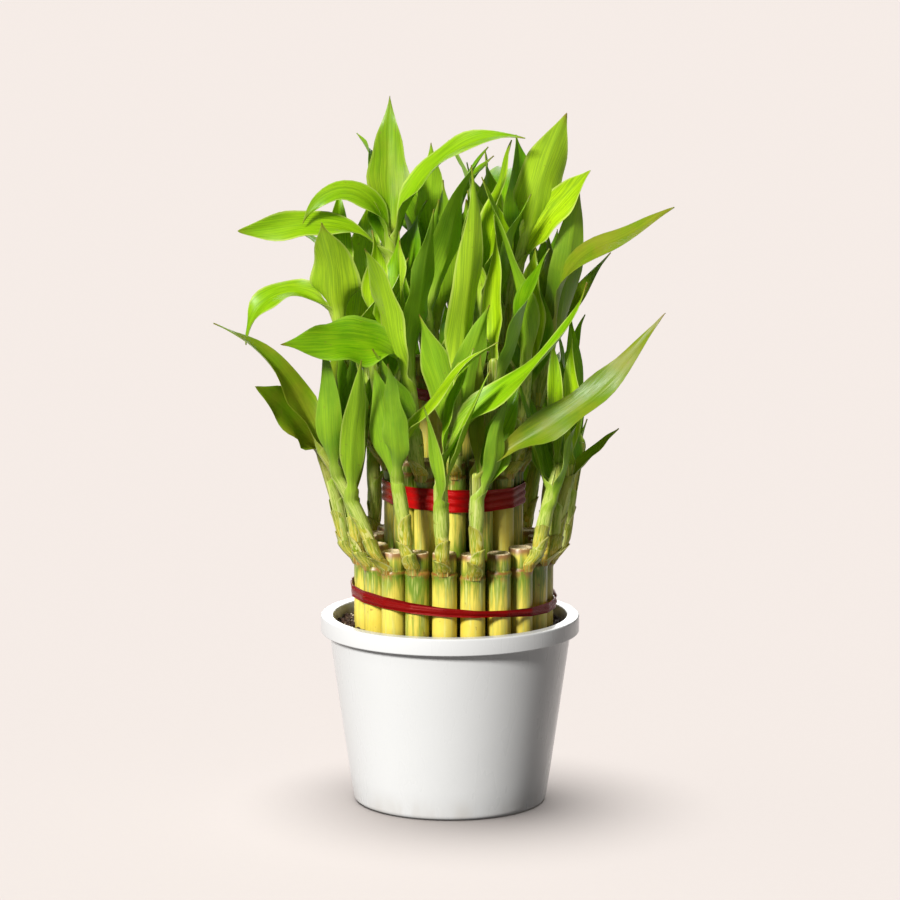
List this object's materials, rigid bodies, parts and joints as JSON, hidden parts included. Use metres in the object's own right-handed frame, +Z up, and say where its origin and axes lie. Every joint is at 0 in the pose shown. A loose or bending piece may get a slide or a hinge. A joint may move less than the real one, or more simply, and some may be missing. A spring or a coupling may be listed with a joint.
{
  "type": "potted lucky bamboo",
  "caption": "Lucky bamboo in a white tapered pot: rings of cut canes of rising height stand in soil, tied with red ribbons, each with a leafy shoot.",
  "frame": {"origin": "middle of the pot's flat underside, on the surface that it stands on", "axes": "+Z up along the canes; -Y is the side that a viewer sees; +X to the viewer's right"},
  "size_m": [0.1899, 0.1744, 0.2995],
  "materials": {
    "pot": "satin white, smooth",
    "soil": "dark crumbly potting soil with a few pale grains, quite matte",
    "ribbon": "red satin ribbon",
    "cane": "living yellow-green cane with brown leaf scars, satin",
    "leaf": "living green leaf, glossy above, with fine lengthwise veins"
  },
  "bodies": {
    "root": {"pot": "pot", "soil": "soil", "ribbon_lower": "ribbon", "ribbon_middle": "ribbon", "ribbon_upper": "ribbon", "outer_stalk_01": "leaf", "outer_stalk_02": "leaf", "outer_stalk_03": "cane", "outer_stalk_04": "leaf", "outer_stalk_05": "leaf", "outer_stalk_06": "leaf", "outer_stalk_07": "leaf", "outer_stalk_08": "leaf", "outer_stalk_09": "leaf", "outer_stalk_10": "leaf", "outer_stalk_11": "leaf", "outer_stalk_12": "cane", "outer_stalk_13": "leaf", "outer_stalk_14": "leaf", "outer_stalk_15": "leaf", "outer_stalk_16": "leaf", "outer_stalk_17": "leaf", "outer_stalk_18": "leaf", "outer_stalk_19": "leaf", "outer_stalk_20": "leaf", "middle_stalk_01": "leaf", "middle_stalk_02": "leaf", "middle_stalk_03": "leaf", "middle_stalk_04": "leaf", "middle_stalk_05": "leaf", "middle_stalk_06": "leaf", "middle_stalk_07": "leaf", "middle_stalk_08": "leaf", "middle_stalk_09": "leaf", "middle_stalk_10": "leaf", "middle_stalk_11": "leaf", "middle_stalk_12": "leaf", "middle_stalk_13": "leaf", "inner_stalk_01": "leaf", "inner_stalk_02": "leaf", "inner_stalk_03": "leaf", "inner_stalk_04": "leaf", "inner_stalk_05": "leaf", "inner_stalk_06": "leaf", "centre_stalk_01": "cane"}
  },
  "joints": []
}
